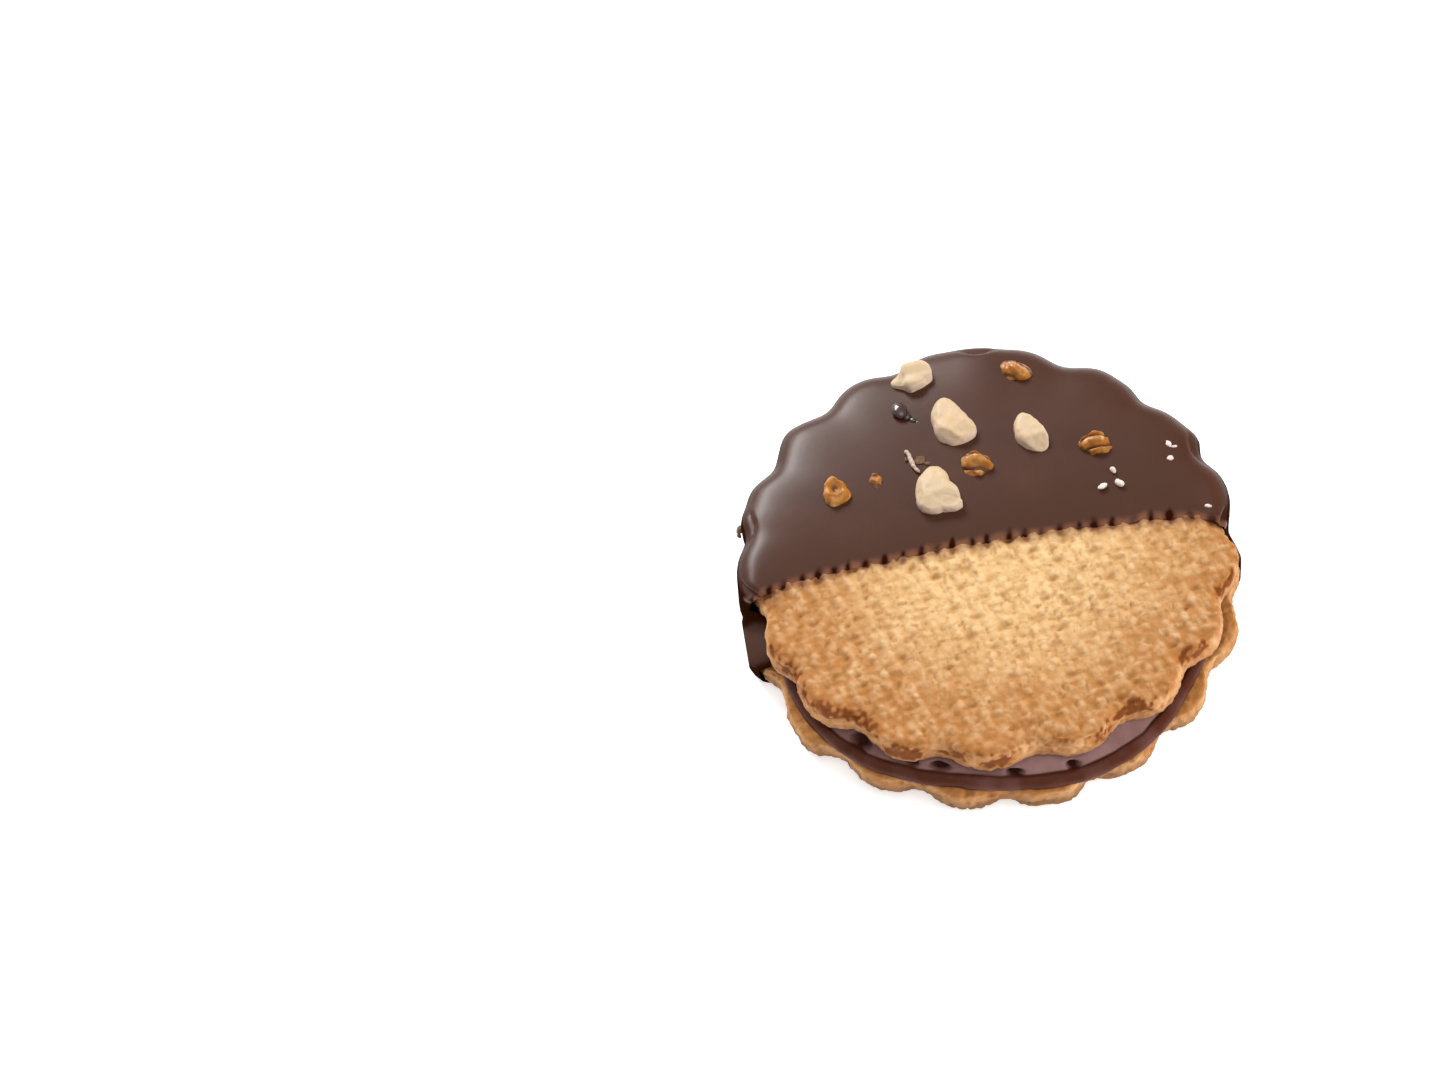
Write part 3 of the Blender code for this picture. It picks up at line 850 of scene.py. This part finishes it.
points[:, :2] *= (1 - pull / np.hypot(points[:, 0], points[:, 1]).clip(1))[:, None]
put_points(dipped_coat, points)
even_mesh(dipped_coat, COAT_MESH, COAT_RELAX)

points = get_points(dipped_coat)
normals = get_normals(dipped_coat)
points += normals * (0.06 * grain(points, 9.0, 43) + 0.02 * grain(points, 3.5, 44))[:, None]
points[:, 2] = np.maximum(points[:, 2], BOX_GAP)
points[:, 0] = np.maximum(points[:, 0], cad_box[0][0] / MM + BOX_GAP)
put_points(dipped_coat, points)
from_edge = points[:, 1] - dip_line(points[:, 0], points[:, 2])
# The mesh is finer near the dip line. It is then shifted so that the line is straight, cut
# there along a plane, and shifted back.
near_line = np.abs(from_edge - FINE_BEHIND_EDGE) < FINE_HALF_WIDTH
refine(dipped_coat, near_line & (points[:, 2] > FINE_ABOVE))


def edge_shift(points):
    """Y of the chocolate's edge by each point, uneven and with its teeth."""
    uneven = 0.12 * grain(points * (1, 0, 1), 1.1, 45) + 0.2 * grain(points * (1, 0, 1), 4.0, 46)
    line = dip_line(points[:, 0], points[:, 2]) + uneven
    flat = np.stack([points[:, 0], dip_line(points[:, 0], COAT_TOP), points[:, 2]], axis=1)
    return line - TOOTH_LENGTH * on_upper_face(points) * teeth(flat)


points = get_points(dipped_coat)
points[:, 1] -= edge_shift(points)
put_points(dipped_coat, points)
bpy.ops.object.mode_set(mode="EDIT")
bpy.ops.mesh.select_all(action="SELECT")
bpy.ops.mesh.bisect(plane_co=(0, 0, 0), plane_no=(0, 1, 0), clear_inner=True, threshold=1e-6)
bpy.ops.object.mode_set(mode="OBJECT")
points = get_points(dipped_coat)
edge_distance = points[:, 1].copy()
points[:, 1] += edge_shift(points)
put_points(dipped_coat, points)

# The face's thickness over the biscuit is held down to a film near the edge.
normals = get_normals(dipped_coat)
on_face = on_upper_face(points)
aside = points[:, :2] - np.array(UPPER_SHIFT)
inset = upper_rim(np.arctan2(aside[:, 1], aside[:, 0])) - np.hypot(aside[:, 0], aside[:, 1])
rounded = np.clip(UPPER_ROUND - inset, 0, UPPER_ROUND)
crust = UPPER_TOP - (UPPER_ROUND - np.sqrt(UPPER_ROUND ** 2 - rounded ** 2))
from_line = np.maximum(0, points[:, 1] - dip_line(points[:, 0], points[:, 2]))
film = FILM_EDGE + FILM_FULL * (1 - np.exp(-from_line / FILM_REACH))
height = np.maximum(0.001, (points[:, 2] - crust) * normals[:, 2])
limited = height * film / (height ** 4 + film ** 4) ** 0.25
sink = (on_face * (height - limited + EDGE_DIP * ease(0.5, 0, edge_distance))
        + (1 - on_face) * WALL_DIP * ease(1.6, 0, edge_distance))
points -= normals * sink[:, None]
put_points(dipped_coat, points)

# The biscuits are drawn in a little under the coat, so that no crumb comes through it.
for piece in (biscuit_lid, biscuit_base):
    below = get_points(piece)
    covered = ease(0.35, 1.1, below[:, 1] - edge_shift(below))
    put_points(piece, below - get_normals(piece) * (CRUMB_UNDER_COAT * covered)[:, None])

# The teeth are painted near black: thicker chocolate in the grooves, and painted shade there.
bite = teeth(points)
ragged = grain(points, 0.9, 47)
blotch = grain(points, 0.5, 52)
spot = bite * on_face * ease(0.9 + 0.9 * bite, 0.3, edge_distance + 0.35 * ragged)
paint(dipped_coat, "tooth", np.clip((1.8 + 0.8 * blotch) * spot, 0, 1))
paint(dipped_coat, "film", ease(1.2, 0.0, edge_distance + 0.3 * ragged) * (1 - bite) * on_face)
near_edge = on_face * ease(1.2, 0.5, edge_distance)
# Painted shade: the coat's steep sides, and its wall near the dip edge, are painted near black and
# dulled.
side = ease(0.86, 0.5, normals[:, 2]) * (1 - near_edge)
paint(dipped_coat, "side", np.maximum(side, (1 - on_face) * ease(1.1, 0.4, edge_distance)))
body = dipped_coat.vertex_groups.new(name="body")
for index, share in enumerate(np.clip(ease(0, EDGE_TAPER, edge_distance), EDGE_THICKNESS, 1)):
    body.add([index], float(share), "REPLACE")

# The crumb just past the edge is stained by the chocolate that soaked in.
beyond = get_points(biscuit_lid)
outside = edge_shift(beyond) - beyond[:, 1] + 0.25 * grain(beyond, 0.9, 48)
outside += 0.3 * grain(beyond, 0.45, 49)
soak = 0.35 * ease(1.8, 0.2, outside) + 0.55 * ease(1.0, 0.0, outside)
paint(biscuit_lid, "stain", np.clip(soak * (0.75 + 0.9 * teeth(beyond)), 0, 1))

shell = dipped_coat.modifiers.new("shell", "SOLIDIFY")
shell.thickness = COAT_THICKNESS * MM
shell.offset = -1
shell.vertex_group = "body"
apply_modifier(dipped_coat, shell)
dipped_coat.vertex_groups.clear()
bpy.ops.object.shade_smooth()

COAT_DARK = (0.055, 0.0168, 0.0068)
COAT_THIN = (0.076, 0.025, 0.012)
# Painted shade on the coat's steep sides.
COAT_SIDE_SHADE = (0.019, 0.004, 0.0012)
COAT_FILM = (0.24, 0.10, 0.055)
# Thicker chocolate in the grooves, darkened further as painted shade.
COAT_TOOTH_AND_SHADE = (0.024, 0.004, 0.0015)
COAT_GLOSS = 0.32
chocolate, shader, tree = new_material("set_chocolate", COAT_DARK, 0.38, COAT_GLOSS)
colour = blend(tree, COAT_DARK, COAT_THIN, speckle(tree, 0.12, 3, 0.5, 0.75), 0.5)
colour = lay_paints(tree, colour, (
    (COAT_SIDE_SHADE, "side", 0.9), (COAT_FILM, "film", 0.85), (COAT_TOOTH_AND_SHADE, "tooth", 1.0)))
dull = read_paint(tree, "side")
for name in ("tooth", "film"):
    duller = tree.nodes.new("ShaderNodeMath")
    duller.operation = "MAXIMUM"
    tree.links.new(dull, duller.inputs[0])
    tree.links.new(read_paint(tree, name), duller.inputs[1])
    dull = duller.outputs["Value"]
gloss = tree.nodes.new("ShaderNodeMapRange")
gloss.inputs["To Min"].default_value = COAT_GLOSS
gloss.inputs["To Max"].default_value = 0.0
tree.links.new(dull, gloss.inputs["Value"])
tree.links.new(gloss.outputs["Result"], shader.inputs["Specular IOR Level"])
finish_skin(tree, shader, colour, 1.0, 3, 0.15, 0.05)
dipped_coat.data.materials.append(chocolate)
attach(dipped_coat, "root")
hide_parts("chocolate_coat")

# The chopped nuts: four blanched pieces with broken faces, dropped on while the chocolate was
# wet. Each is a dome on its own outline, cut down by slanted planes, then rubbed and grained.
NUT_FOOT = 11.25
NUT_MESH = 0.14
NUT_RELAX = 2
NUT_SIDE = 0.36
NUT_DOME = 0.5
SUNK = 0.3


def outline_reach(corners, angle):
    """Middle of an outline, and how far the outline lies from it at each angle."""
    corners = np.array(corners)
    middle = corners.mean(axis=0)
    around = np.arctan2(corners[:, 1] - middle[1], corners[:, 0] - middle[0])
    order = np.argsort(around)
    reach = np.interp(angle, around[order], np.hypot(*(corners - middle).T)[order],
                      period=2 * math.pi)
    return middle, reach


def chop_nut(name, outline, height, lumpy, cuts, seed):
    """Nut piece domed over an outline, its broken faces cut by planes: a point and a normal."""
    leave_all()
    bpy.ops.mesh.primitive_uv_sphere_add(segments=72, ring_count=36, radius=MM)
    piece = bpy.context.object
    piece.name = name
    points = get_points(piece)
    angle = np.arctan2(points[:, 1], points[:, 0])
    middle, reach = outline_reach(outline, angle)
    level = np.abs(points[:, 2])
    flat = np.hypot(points[:, 0], points[:, 1])
    reach *= flat ** NUT_SIDE
    points[:, 0] = middle[0] + reach * np.cos(angle)
    points[:, 1] = middle[1] + reach * np.sin(angle)
    points[:, 2] = NUT_FOOT + np.where(points[:, 2] > 0, height * level ** NUT_DOME,
                                       -SUNK * level)
    put_points(piece, points)
    bpy.ops.object.mode_set(mode="EDIT")
    for place, direction in cuts:
        bpy.ops.mesh.select_all(action="SELECT")
        bpy.ops.mesh.bisect(plane_co=Vector(place) * MM, plane_no=direction,
                            clear_outer=True, use_fill=True)
    bpy.ops.mesh.select_all(action="SELECT")
    bpy.ops.mesh.normals_make_consistent(inside=False)
    bpy.ops.object.mode_set(mode="OBJECT")
    even_mesh(piece, NUT_MESH, NUT_RELAX)
    points = get_points(piece)
    normals = get_normals(piece)
    bumps = (lumpy * grain(points, 1.3, seed) + 0.06 * grain(points, 0.7, seed + 1)
             + 0.025 * grain(points, 0.35, seed + 2))
    put_points(piece, points + normals * bumps[:, None])
    # Painted light: the steep sides are painted paler and pinker, as a rim light.
    paint(piece, "rim", ease(0.85, 0.2, normals[:, 2]))
    pick(piece)
    bpy.ops.object.shade_smooth()
    piece.data.materials.append(nut_flesh)
    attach(piece, "root")
    return piece


NUT_PALE = (0.56, 0.42, 0.265)
NUT_WARM = (0.64, 0.41, 0.21)
NUT_SHADE = (0.50, 0.34, 0.19)
# Painted rim light on the steep sides.
NUT_RIM_LIGHT = (0.70, 0.53, 0.42)
nut_flesh, shader, tree = new_material("nut_flesh", NUT_PALE, 0.5, 0.4)
colour = blend(tree, NUT_PALE, NUT_WARM, speckle(tree, 0.35, 2, 0.48, 0.75), 0.6)
colour = blend(tree, colour, NUT_SHADE, speckle(tree, 1.6, 2, 0.54, 0.8), 0.5)
colour = blend(tree, colour, NUT_RIM_LIGHT, read_paint(tree, "rim"), 0.7)
finish_skin(tree, shader, colour, 2.5, 4, 0.4, 0.06)
shader.inputs["Subsurface Weight"].default_value = 0.15
shader.inputs["Subsurface Radius"].default_value = (0.8, 0.5, 0.3)
shader.inputs["Subsurface Scale"].default_value = 1.0 * MM

for name, node, outline, height, lumpy, cuts, seed in (
        ("nut_piece_block", "nut_block",
         ((-4.0, 13.2), (-3.0, 10.6), (-2.1, 8.0), (-1.9, 7.3), (-2.8, 6.9), (-4.5, 7.1),
          (-6.0, 6.9), (-7.1, 7.6), (-7.4, 9.5), (-7.1, 10.9), (-6.1, 12.4), (-5.0, 13.3)),
         1.9, 0.1,
         (((-4.5, 7.5, 12.5), (0.05, -0.35, 0.9)), ((-2.6, 9.8, 12.6), (0.6, 0.25, 0.75)),
          ((-6.8, 9.0, 12.7), (-0.55, 0.0, 0.8))), 51),
        ("nut_piece_wedge", "nut_wedge",
         ((-1.4, 23.1), (-0.5, 22.4), (0.2, 21.0), (0.9, 19.5), (1.7, 17.8), (1.0, 16.9),
          (-0.6, 16.3), (-2.0, 16.4), (-3.2, 17.5), (-3.4, 19.4), (-3.5, 20.8), (-3.0, 22.1),
          (-2.2, 23.0)), 2.2, 0.1,
         (((-2.4, 17.2, 12.4), (-0.45, -0.7, 0.6)), ((0.6, 19.4, 12.8), (0.6, 0.3, 0.7)),
          ((-3.1, 20.0, 13.0), (-0.6, 0.1, 0.8)), ((0.2, 17.2, 12.9), (0.15, -0.3, 0.9))), 54),
        ("nut_piece_far_rim", "nut_far_rim",
         ((-7.5, 27.3), (-6.7, 28.1), (-6.0, 28.9), (-5.0, 29.6), (-3.8, 29.6), (-2.8, 28.9),
          (-2.3, 28.0), (-2.2, 26.9), (-3.1, 26.2), (-3.9, 25.7), (-4.9, 25.5), (-6.1, 25.8),
          (-7.1, 26.6)), 1.9, 0.36, (((-7.0, 26.4, 12.0), (-0.6, -0.1, 0.75)),), 57),
        ("nut_piece_almond", "nut_almond",
         ((7.5, 18.9), (8.2, 18.6), (8.8, 17.9), (9.3, 16.9), (9.8, 15.7), (9.9, 14.8),
          (9.7, 13.8), (9.2, 13.2), (8.5, 13.3), (7.4, 13.9), (6.6, 14.6), (6.1, 15.5),
          (6.0, 16.7), (6.3, 18.0), (6.9, 18.8)), 1.9, 0.08,
         (((8.8, 14.0, 12.2), (0.1, -0.6, 0.75)), ((6.1, 16.9, 12.8), (-0.7, 0.1, 0.7)),
          ((10.1, 16.5, 12.7), (0.7, 0.2, 0.7))), 60)):
    nut = chop_nut(name, outline, height, lumpy, cuts, seed)
    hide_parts(node)

# The caramel bits: chewy amber lumps, folded and creased, sunk a little into the chocolate. Each
# is a ball drawn out to its own outline, with folds pressed across it.
CARAMEL_FOOT = 11.25
CARAMEL_SIDE = 0.7


def drop_caramel(name, outline, height, turn, folds, depth, seed):
    """Caramel lump over an outline, with folds across it; creases painted as shade, ridges as
    highlight.
    """
    leave_all()
    bpy.ops.mesh.primitive_ico_sphere_add(subdivisions=6, radius=MM)
    piece = bpy.context.object
    piece.name = name
    points = get_points(piece)
    angle = np.arctan2(points[:, 1], points[:, 0])
    middle, reach = outline_reach(outline, angle)
    tilt = math.radians(turn)
    over = points[:, 1] * math.cos(tilt) - points[:, 0] * math.sin(tilt)
    wander = over + 0.22 * grain(points, 0.7, seed)
    if folds:
        ridge = np.cos(math.pi * folds * wander + 0.6)
    else:
        ridge = np.minimum(1, 2.2 * np.hypot(points[:, 0], points[:, 1])) * 2 - 1
    top = ease(-0.2, 0.4, points[:, 2])
    lumps = 0.16 * grain(points, 0.6, seed + 1) + 0.08 * grain(points, 0.3, seed + 2)
    scale = 1 + lumps + depth * top * (ridge - 0.6)
    flat = np.hypot(points[:, 0], points[:, 1])
    reach = reach * flat ** CARAMEL_SIDE * (1 + lumps)
    points[:, 0] = middle[0] + reach * np.cos(angle)
    points[:, 1] = middle[1] + reach * np.sin(angle)
    points[:, 2] = CARAMEL_FOOT + np.where(points[:, 2] > 0, height * points[:, 2] * scale,
                                           SUNK * points[:, 2])
    put_points(piece, points)
    # Painted shade in the creases and a painted highlight on the ridges.
    paint(piece, "crease_shade", top * ease(-0.2, -0.9, ridge))
    broken = ease(0.1, 0.8, grain(points, 0.5, seed + 3))
    paint(piece, "ridge", top * ease(0.4, 1.0, ridge) * broken)
    bpy.ops.object.shade_smooth()
    piece.data.materials.append(amber)
    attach(piece, "root")
    return piece


AMBER = (0.37, 0.13, 0.012)
# Painted shade in the creases.
AMBER_CREASE_SHADE = (0.075, 0.022, 0.007)
# Paler amber at random, and a painted highlight on the ridges.
AMBER_PALE_AND_HIGHLIGHT = (0.66, 0.37, 0.13)
amber, shader, tree = new_material("caramel_amber", AMBER, 0.35, 0.5)
colour = blend(tree, AMBER, AMBER_PALE_AND_HIGHLIGHT, speckle(tree, 0.6, 2, 0.5, 0.75), 0.5)
colour = lay_paints(tree, colour, (
    (AMBER_PALE_AND_HIGHLIGHT, "ridge", 0.8), (AMBER_CREASE_SHADE, "crease_shade", 0.9)))
finish_skin(tree, shader, colour, 2.0, 3, 0.3, 0.06)
shader.inputs["Subsurface Weight"].default_value = 0.2
shader.inputs["Subsurface Radius"].default_value = (1.0, 0.4, 0.1)
shader.inputs["Subsurface Scale"].default_value = 1.0 * MM

for name, node, outline, height, turn, folds, depth, seed in (
        ("caramel_bit_drop", "caramel_drop",
         ((-16.9, 14.9), (-18.0, 13.7), (-18.4, 12.2), (-18.1, 10.9), (-16.8, 10.3), (-15.5, 10.9),
          (-15.2, 12.3), (-16.0, 13.8)), 1.5, 0, 0, 0.3, 71),
        ("caramel_bit_crumb", "caramel_crumb",
         ((-11.9, 14.2), (-12.5, 13.6), (-12.4, 12.6), (-11.6, 11.8), (-11.0, 12.6),
          (-11.1, 13.9)), 1.0, 0, 1.5, 0.2, 73),
        ("caramel_bit_middle", "caramel_middle",
         ((0.5, 14.9), (-0.9, 14.1), (-1.2, 12.7), (-0.3, 11.6), (1.2, 11.4), (2.6, 12.1),
          (2.6, 13.3), (1.6, 14.3)), 1.6, -18, 2.3, 0.3, 75),
        ("caramel_bit_right", "caramel_right",
         ((15.0, 14.6), (13.6, 13.9), (13.4, 12.5), (14.4, 11.7), (16.0, 11.5), (17.3, 12.3),
          (17.3, 13.5), (16.4, 14.4)), 1.5, 8, 3.2, 0.26, 77),
        ("caramel_bit_far_rim", "caramel_far_rim",
         ((6.9, 27.9), (6.0, 26.9), (6.4, 25.4), (7.4, 24.5), (9.0, 24.5), (9.6, 25.3),
          (8.4, 26.9)), 1.5, -50, 1.8, 0.2, 79)):
    bit = drop_caramel(name, outline, height, turn, folds, depth, seed)
    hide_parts(node)

# The coated crumb: a lump of biscuit that sank into the wet chocolate and took a glossy skin of
# it, with a tail of smaller bits. All the small things are joined lumps like these.
WET_CHOCOLATE = (0.040, 0.012, 0.008)


def scatter_bits(name, bits, rough, material, seed):
    """One piece of small lumps; each has a middle, its three sizes and a turn in degrees."""
    leave_all()
    lumps = []
    for middle, size, turn in bits:
        bpy.ops.mesh.primitive_ico_sphere_add(
            subdivisions=4, radius=0.5 * MM, location=[MM * value for value in middle],
            rotation=(0, 0, math.radians(turn)), scale=size)
        bpy.ops.object.transform_apply(location=True, rotation=True, scale=True)
        lumps.append(bpy.context.object)
    for lump in lumps:
        lump.select_set(True)
    bpy.ops.object.join()
    piece = bpy.context.object
    piece.name = name
    points = get_points(piece)
    bumps = rough * (grain(points, 0.6, seed) + 0.4 * grain(points, 0.25, seed + 1))
    put_points(piece, points + get_normals(piece) * bumps[:, None])
    bpy.ops.object.shade_smooth()
    piece.data.materials.append(material)
    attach(piece, "root")
    return piece


wet_chocolate, shader, tree = new_material("glossy_chocolate", WET_CHOCOLATE, 0.28, 1.0)
scatter_bits("coated_crumb", (
    ((-7.2, 22.6, 12.1), (1.9, 2.5, 1.3), 12), ((-6.4, 21.7, 11.8), (1.1, 1.0, 0.8), 30),
    ((-5.8, 21.1, 11.7), (0.9, 0.7, 0.6), -30), ((-5.2, 20.7, 11.6), (0.8, 0.45, 0.4), -25)),
    0.03, wet_chocolate, 81)

# The nut flecks: splinters left from the chopping, nearly white, that fell together on the right
# of the coat and stuck there.
FLECK_PALE = (0.72, 0.62, 0.56)
fleck, shader, tree = new_material("nut_fleck", FLECK_PALE, 0.45, 0.5)
scatter_bits("nut_flecks", (
    ((16.7, 8.7, 11.65), (0.6, 0.9, 0.6), 20), ((15.0, 6.7, 11.6), (1.3, 0.75, 0.6), 25),
    ((17.1, 6.8, 11.6), (0.85, 1.2, 0.6), 35), ((24.1, 11.4, 11.3), (0.7, 1.3, 0.6), 15),
    ((24.6, 10.9, 11.3), (0.9, 0.5, 0.5), 0), ((23.8, 9.2, 11.4), (1.0, 0.8, 0.6), -15),
    ((26.9, 1.7, 10.9), (0.9, 0.5, 0.5), -20)), 0.12, fleck, 84)

# The sliver: a thin curl shaved off a nut, lying beside the block, where the chocolate holds it
# by its underside.
SLIVER_PALE = (0.50, 0.37, 0.29)
sliver_flesh, shader, tree = new_material("sliver_flesh", SLIVER_PALE, 0.5, 0.4)
scatter_bits("nut_sliver", (
    ((-7.35, 16.3, 11.95), (0.55, 0.7, 0.5), 40), ((-7.2, 15.8, 11.95), (0.45, 1.0, 0.5), 20),
    ((-7.1, 15.2, 11.95), (0.5, 1.1, 0.5), 15), ((-7.0, 14.6, 11.95), (0.55, 1.1, 0.5), 12),
    ((-6.85, 14.0, 11.95), (0.5, 1.1, 0.5), 25), ((-6.55, 13.4, 11.95), (0.5, 0.9, 0.5), 35)),
    0.08, sliver_flesh, 91)

# The nut skins: torn flakes of the papery brown skin, beside the sliver, and a scrap of it stuck
# to the left side of the coat.
SKIN_BROWN = (0.13, 0.07, 0.035)
nut_skin, shader, tree = new_material("nut_skin", SKIN_BROWN, 0.6, 0.3)
scatter_bits("nut_skins", (
    ((-5.9, 14.9, 11.75), (1.5, 1.2, 0.35), 30), ((-5.2, 14.3, 11.75), (0.9, 0.6, 0.3), -20),
    ((-7.6, 15.4, 11.8), (0.45, 0.7, 0.4), 0), ((-28.9, 12.2, 7.4), (1.3, 1.2, 1.1), 20),
    ((-29.2, 11.5, 7.1), (0.7, 0.7, 0.7), 0)), 0.15, nut_skin, 87)
